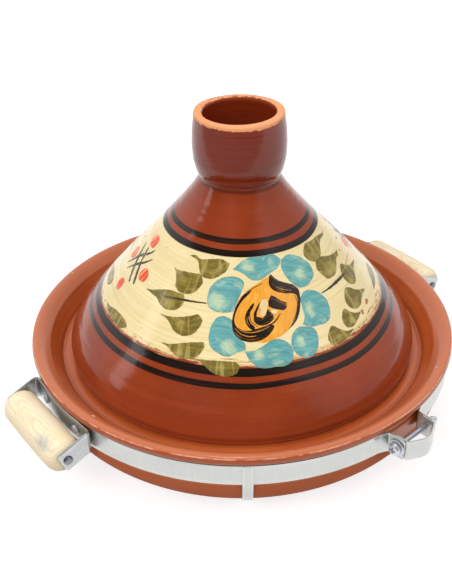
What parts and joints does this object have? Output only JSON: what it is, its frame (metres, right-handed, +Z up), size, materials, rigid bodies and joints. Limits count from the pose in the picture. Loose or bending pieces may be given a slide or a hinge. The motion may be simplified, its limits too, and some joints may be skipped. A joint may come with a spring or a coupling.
{
  "type": "tagine",
  "caption": "Glazed clay cooking dish with a tall conical lid, held in a clamped steel band with straps under it and two wooden grips.",
  "frame": {"origin": "on the table under the middle of the dish, at the underside of the lower strap where the two straps cross", "axes": "+Z up along the axis of the dish and lid, +X through the right handle"},
  "size_m": [0.3756, 0.3382, 0.2372],
  "materials": {
    "dish_glaze": "clear-glazed terracotta, glossy",
    "lid_glaze": "glazed red-brown clay with a painted cream band",
    "band_steel": "pale galvanised sheet",
    "strap_steel": "pale galvanised sheet",
    "bracket_steel": "galvanised sheet",
    "fastener_steel": "zinc-plated",
    "grip_wood": "bare turned softwood"
  },
  "bodies": {
    "dish_and_band": {"dish": "dish_glaze", "belt_band": "band_steel", "under_strap_lower": "strap_steel", "under_strap_upper": "strap_steel", "handle_bracket_left": "bracket_steel", "handle_bracket_right": "bracket_steel", "grip_rod_left": "fastener_steel", "grip_rod_right": "fastener_steel", "bracket_rivet_left_a": "fastener_steel", "bracket_rivet_left_b": "fastener_steel", "bracket_rivet_right_a": "fastener_steel", "bracket_rivet_right_b": "fastener_steel", "clamp_bow": "band_steel", "clamp_nut_washer": "fastener_steel", "clamp_nut": "fastener_steel"},
    "lid": {"lid": "lid_glaze"},
    "grip_left": {"grip_left": "grip_wood"},
    "grip_right": {"grip_right": "grip_wood"},
    "clamp_washer": {"clamp_washer": "fastener_steel"},
    "clamp_screw": {"clamp_screw": "fastener_steel"}
  },
  "joints": [
    {"name": "lid_lift", "type": "slide", "parent": "dish_and_band", "child": "lid", "axis": [0, 0, 1], "range_m": [0, 0.15]},
    {"name": "grip_left_spin", "type": "hinge", "parent": "dish_and_band", "child": "grip_left", "pos_m": [-0.1744, 0, 0.0472], "axis": [0, -1, 0], "continuous": true},
    {"name": "grip_right_spin", "type": "hinge", "parent": "dish_and_band", "child": "grip_right", "pos_m": [0.1744, 0, 0.0472], "axis": [0, 1, 0], "continuous": true},
    {"name": "clamp_screw_travel", "type": "slide", "parent": "dish_and_band", "child": "clamp_washer", "axis": [-0.9945, -0.1045, 0], "range_m": [0, 0.0056]},
    {"name": "clamp_screw_turn", "type": "hinge", "parent": "clamp_washer", "child": "clamp_screw", "pos_m": [0.01734, -0.16499, 0.0529], "axis": [-0.9945, -0.1045, 0], "range_deg": [0, 2881]}
  ],
  "couplings": [
    {"joint": "clamp_screw_turn", "follows": "clamp_screw_travel", "rad_per_m": 8976}
  ]
}
